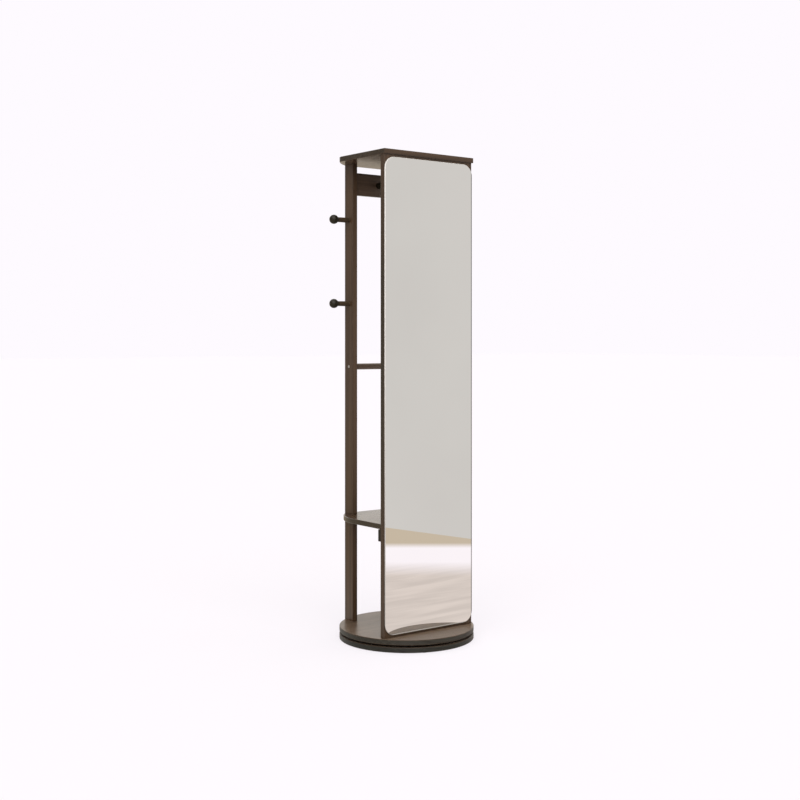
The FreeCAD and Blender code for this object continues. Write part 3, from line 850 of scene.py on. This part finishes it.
def ringPlaces(radius, count, first, level):
    turns = [math.radians(first) + 2 * math.pi * step / count for step in range(count)]
    return [(radius * math.cos(angle), radius * math.sin(angle), level) for angle in turns]


def mirroredPlaces(x, y, *levels):
    return [(side * x, y, level) for level in levels for side in (-1, 1)]


crossScrew = screwTree("crossScrew", "cross")
hexScrew = screwTree("hexScrew", "hex")
stud = studTree()
camBolt = camBoltTree()
dowel = dowelTree()
button = buttonTree()
ball = ballTree()

# sizes and places in millimetres
hexScrewSizes = {"headRadius": 5, "shankRadius": 3.2, "coreRadius": 2.2, "length": 50, "plainLength": 9,
                 "pitch": 3.0, "driveWidth": 2.3, "driveDepth": 3.2}
railScrewSizes = {"headRadius": 5, "shankRadius": 2.5, "coreRadius": 1.7, "length": 46, "plainLength": 14,
                  "pitch": 2.2, "driveWidth": 2.4, "driveDepth": 1.9}
woodScrewSizes = {"headRadius": 4, "shankRadius": 2, "coreRadius": 1.35, "length": 30, "plainLength": 6,
                  "pitch": 1.8, "driveWidth": 2.0, "driveDepth": 1.6}
ringScrewSizes = {"headRadius": 3.5, "shankRadius": 1.75, "coreRadius": 1.2, "length": 16, "plainLength": 0.6,
                  "pitch": 1.5, "driveWidth": 1.7, "driveDepth": 1.3}
jointStudSizes = {"radius": 4, "coreRadius": 3.3, "length": 70, "pitch": 1.25, "bevel": 0.8}
pegStudSizes = {"radius": 3, "coreRadius": 2.45, "length": 34, "pitch": 1.0, "bevel": 0.6}
camBoltSizes = {"threadRadius": 2.5, "threadLength": 11, "coreRadius": 1.7, "pitch": 2.2, "stemRadius": 3,
                "neckRadius": 2, "neckStart": 27.5, "collarStart": 33, "length": 35}
dowelSizes = {"radius": 4, "length": 30, "bevel": 0.6, "fluteShare": 0.06}
capSizes = {"radius": 6, "height": 1.5, "edge": 0.35, "crown": 0.25}
padSizes = {"radius": 15, "height": 2, "edge": 0.5, "crown": 0.05}

up, down, toFront, toBack = (0, 0, 1), (0, 0, -1), (0, -1, 0), (0, 1, 0)
outwards, inwards = "outwards", "inwards"
uprights = [(-150, -116), (0, -116), (150, -116), (-115, 188), (115, 188)]
dowelSpots = [(-75, -116), (75, -116), (-115, 166), (115, 166)]
grown = {
    "base_panel_screws": (hexScrew, [(x, y, 27.5) for x, y in uprights], up, hexScrewSizes),
    "top_panel_screws": (hexScrew, [(x, y, 1698.5) for x, y in uprights], down, hexScrewSizes),
    "top_screw_caps": (button, [(x, y, 1698.5) for x, y in uprights], up, capSizes),
    "outer_ring_screws": (crossScrew, ringPlaces(114.25, 4, 45, 26), down, ringScrewSizes),
    "inner_ring_screws": (crossScrew, ringPlaces(93.75, 4, 0, 21.5), up, ringScrewSizes),
    "batten_screws": (crossScrew, [(x, -88, 390) for x in (-160, 0, 160)], toFront, woodScrewSizes),
    "shelf_screws": (crossScrew, mirroredPlaces(110, -97, 392), up, woodScrewSizes),
    "stretcher_screws": (crossScrew, mirroredPlaces(125, 177, 957), inwards, railScrewSizes),
    "rail_end_screw": (crossScrew, [(0, 183, 1614)], toFront, railScrewSizes),
    "post_joint_studs": (stud, mirroredPlaces(115, 188, 384), up, jointStudSizes),
    "rail_stud": (stud, [(0, -118, 1614)], toBack, pegStudSizes),
    "peg_studs": (stud, mirroredPlaces(113, 177, 1483, 1183), outwards, pegStudSizes),
    "crossboard_cam_bolts": (camBolt, mirroredPlaces(116, 174, 1614), inwards, camBoltSizes),
    "base_dowels": (dowel, [(x, y, 33.5) for x, y in dowelSpots], up, dowelSizes),
    "top_dowels": (dowel, [(x, y, 1664) for x, y in dowelSpots], up, dowelSizes),
    "post_joint_dowels": (dowel, mirroredPlaces(115, 166, 390), up, {**dowelSizes, "length": 58}),
    "crossboard_dowels": (dowel, mirroredPlaces(116, 174, 1590, 1638), inwards, dowelSizes),
    "bearing_balls": (ball, ringPlaces(104, 24, 7.5, 23.75), up, {"radius": 1.5875}),
    "floor_pads": (button, ringPlaces(215.5, 8, 22.5, 2), down, padSizes),
}
sharpFrom = 32  # degrees between two faces


def aimOf(place, aim):
    if aim in (inwards, outwards):
        side = math.copysign(1, place[0])
        return (side if aim == outwards else -side, 0, 0)
    return aim


def placesMesh(name, places, aim):
    mesh = bpy.data.meshes.new(name + "Places")
    mesh.from_pydata([Vector(place) * mm for place in places], [], [])
    aims = mesh.attributes.new("aim", "FLOAT_VECTOR", "POINT")
    for spot, place in zip(aims.data, places):
        spot.vector = aimOf(place, aim)
    return mesh


def growPiece(name, tree, places, aim, sizes, material, body):
    piece = bpy.data.objects.new(name + "Made", placesMesh(name, places, aim))
    bpy.context.scene.collection.objects.link(piece)
    modifier = piece.modifiers.new("grow", "NODES")
    modifier.node_group = tree
    identifiers = {item.name: item.identifier for item in tree.interface.items_tree if item.in_out == "INPUT"}
    for label, value in sizes.items():
        modifier[identifiers[label]] = value if label.endswith("Share") else value * mm
    modifier[identifiers["finish"]] = material
    graph = bpy.context.evaluated_depsgraph_get()
    grownMesh = bpy.data.meshes.new_from_object(piece.evaluated_get(graph), depsgraph=graph)
    piece.modifiers.clear()
    piece.data = grownMesh
    work = bmesh.new()
    work.from_mesh(grownMesh)
    bmesh.ops.recalc_face_normals(work, faces=work.faces)
    work.to_mesh(grownMesh)
    work.free()
    grownMesh.shade_smooth()
    grownMesh.set_sharp_from_angle(angle=math.radians(sharpFrom))
    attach(piece, body)
    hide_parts(name)


bodies = frame["record"]["behaviour"]["bodies"]
bodyOf = {node: body for body, members in bodies.items() for node in members}
for name, (tree, places, aim, sizes) in grown.items():
    finish = finishOf[name]
    growPiece(name, tree, places, aim, sizes, made[finish], bodyOf[name])
print("stage: hardware grown,", len(grown), "kinds")


# studio: pale floor, bright backdrop, darker sides, one soft light from the left and one from above

studio = {
    "background": (0.991, 0.956, 1.0),
    "surround": (1.0, 0.95, 0.89),
    "floor": (0.735, 0.709, 0.742),
    "floorGlow": 0.75,  # share of the floor that no shadow reaches
    "floorReach": 60,
    "sideLight": 0.22,
    "backLight": 1.12,
    "backFrom": (0.28, 0.75),  # how straight ahead, for the side's level and for the backdrop's
    "skyLight": 0.9,
    "skyFrom": (0.1, 0.8),
    "keyStrength": 2.65,
    "keyFrom": (-0.44, -0.68, 0.60),
    "keySoftness": 75,  # degrees
    "topStrength": 0.6,
    "topFrom": (0.05, 0.1, 1.0),
    "topSoftness": 110,
}
# a plain wall and a board floor that only reflections see; colours, and metres
room = {
    "wallLine": ((1.491, -2.364), (1.608, -1.768)),  # two points of the wall's foot
    "wall": (0.685, 0.655, 0.625),
    "wallPatches": (1.1, 3.0),
    "patchShade": 0.94,
    "height": 3.2,
    "nearEnd": -0.14,
    "farEnd": -7.0,
    "boards": (0.76, 0.665, 0.612),
    "boardShades": (0.89, 1.03),
    "streaks": ((2.2, 13, 1), 4.0, 0.55, 0.4),
    "streakRange": (0.38, 0.62),
    "boardsLightBand": (1.06, 0.99, 1.03),
    "lightBandFrom": (1.35, 1.70),  # out from the mirror, the way it looks; a painted band of light on the boards
    # painted shadow on the boards along the wall's foot
    "boardsWallShadow": (0.62, 0.52, 0.40),
    "wallShadowFrom": (2.09, 2.25),
    "boardsFrom": (-0.05, -0.13),  # the boards lie in front of the mirror only
    "groundNear": (0.78, 0.74, 0.68),
    "ground": (0.52, 0.42, 0.30),
    "groundFrom": (0.5, 2.2),
    "groundFar": (0.80, 0.69, 0.55),
    "farFrom": (5.0, 9.0),
    "groundLift": 0.0006,
    "reach": 40.0,
}


def buildWorld():
    world = bpy.data.worlds.new("studioWorld")
    bpy.context.scene.world = world
    world.use_nodes = True
    tree = world.node_tree
    tree.nodes.clear()
    direction = addNode(tree, "ShaderNodeTexCoord").outputs["Generated"]
    forward = vectorMaths(tree, "DOT_PRODUCT", direction, ahead, "Value")
    level = remap(tree, forward, *studio["backFrom"], studio["sideLight"], studio["backLight"])
    sky = remap(tree, axisOf(tree, direction, "Z"), *studio["skyFrom"], 0.0, studio["skyLight"])
    level = maths(tree, "MAXIMUM", level, sky)
    lit = addNode(tree, "ShaderNodeBackground", {"Color": (*studio["surround"], 1.0), "Strength": level})
    seen = addNode(tree, "ShaderNodeBackground", {"Color": (*studio["background"], 1.0), "Strength": 1.0})
    cameraRay = addNode(tree, "ShaderNodeLightPath").outputs["Is Camera Ray"]
    mixed = addNode(tree, "ShaderNodeMixShader", {0: cameraRay, 1: lit.outputs[0], 2: seen.outputs[0]})
    addNode(tree, "ShaderNodeOutputWorld", {"Surface": mixed.outputs[0]})


def softSun(name):
    source = Vector(studio[name + "From"])
    data = bpy.data.lights.new(name + "Sun", "SUN")
    data.energy = studio[name + "Strength"]
    data.angle = math.radians(studio[name + "Softness"])
    lamp = bpy.data.objects.new(name + "Sun", data)
    lamp.location = source * 4
    lamp.rotation_euler = source.to_track_quat("Z", "Y").to_euler()
    bpy.context.scene.collection.objects.link(lamp)


def flatSheet(name, corners):
    mesh = bpy.data.meshes.new(name)
    mesh.from_pydata(corners, [], [tuple(range(len(corners)))])
    sheet = bpy.data.objects.new(name, mesh)
    bpy.context.scene.collection.objects.link(sheet)
    return sheet


def levelSheet(name, reach, level):
    return flatSheet(name, [(-reach, -reach, level), (reach, -reach, level), (reach, reach, level),
                            (-reach, reach, level)])


def buildFloor():
    floor = levelSheet("paleFloor", studio["floorReach"], 0)
    share = studio["floorGlow"]
    material, tree, shader = newMaterial("paleFloorPaint", {
        "Base Color": (*tinted(studio["floor"], 1 - share), 1.0), "Roughness": 0.9, "Specular IOR Level": 0.0,
        "Emission Color": (*studio["background"], 1.0), "Emission Strength": share})
    floor.data.materials.append(material)


def glossOnly(sheet, name, colourOf):
    # glows, and shows in reflections and nowhere else
    material = bpy.data.materials.new(name)
    material.use_nodes = True
    tree = material.node_tree
    tree.nodes.clear()
    glow = addNode(tree, "ShaderNodeEmission", {"Color": colourOf(tree), "Strength": 1.0})
    addNode(tree, "ShaderNodeOutputMaterial", {"Surface": glow.outputs[0]})
    sheet.data.materials.append(material)
    sheet.visible_camera = False
    sheet.visible_diffuse = False
    sheet.visible_shadow = False
    sheet.visible_transmission = False


def wallColour(tree):
    patches = noise(tree, objectPlace(tree), *room["wallPatches"])
    return ramp(tree, patches, (0.25, tinted(room["wall"], room["patchShade"])), (0.75, room["wall"]))


def groundColour(tree):
    place = objectPlace(tree)
    dark, light = (tinted(room["boards"], shade) for shade in room["boardShades"])
    streaks = remap(tree, stretchedNoise(tree, place, *room["streaks"]), *room["streakRange"])
    away = vectorMaths(tree, "DOT_PRODUCT", place, Vector((ahead.x, -ahead.y, 0)), "Value")
    boards = mixColour(tree, streaks, dark, light)
    # a painted band of light, then a painted shadow along the wall's foot
    boards = mixColour(tree, remap(tree, away, *room["lightBandFrom"]), boards, room["boardsLightBand"])
    boards = mixColour(tree, remap(tree, away, *room["wallShadowFrom"]), boards, room["boardsWallShadow"])
    reach = vectorMaths(tree, "LENGTH", place, result="Value")
    ground = mixColour(tree, remap(tree, reach, *room["groundFrom"]), room["groundNear"], room["ground"])
    ground = mixColour(tree, remap(tree, reach, *room["farFrom"]), ground, room["groundFar"])
    inFront = remap(tree, axisOf(tree, place, "Y"), *room["boardsFrom"])
    return mixColour(tree, inFront, ground, boards)


def buildMirrorRoom():
    first, second = (Vector((*point, 0)) for point in room["wallLine"])
    along = (second - first).normalized()
    near, far = (first + along * ((room[end] - first.y) / along.y) for end in ("nearEnd", "farEnd"))
    top = Vector((0, 0, room["height"]))
    wall = flatSheet("roomWall", [near, far, far + top, near + top])
    glossOnly(wall, "roomWallPaint", wallColour)
    ground = levelSheet("roomGround", room["reach"], room["groundLift"])
    glossOnly(ground, "roomGroundFinish", groundColour)


buildWorld()
buildFloor()
buildMirrorRoom()
softSun("key")
softSun("top")
bpy.context.scene.view_settings.view_transform = "Standard"
print("stage: studio lit")
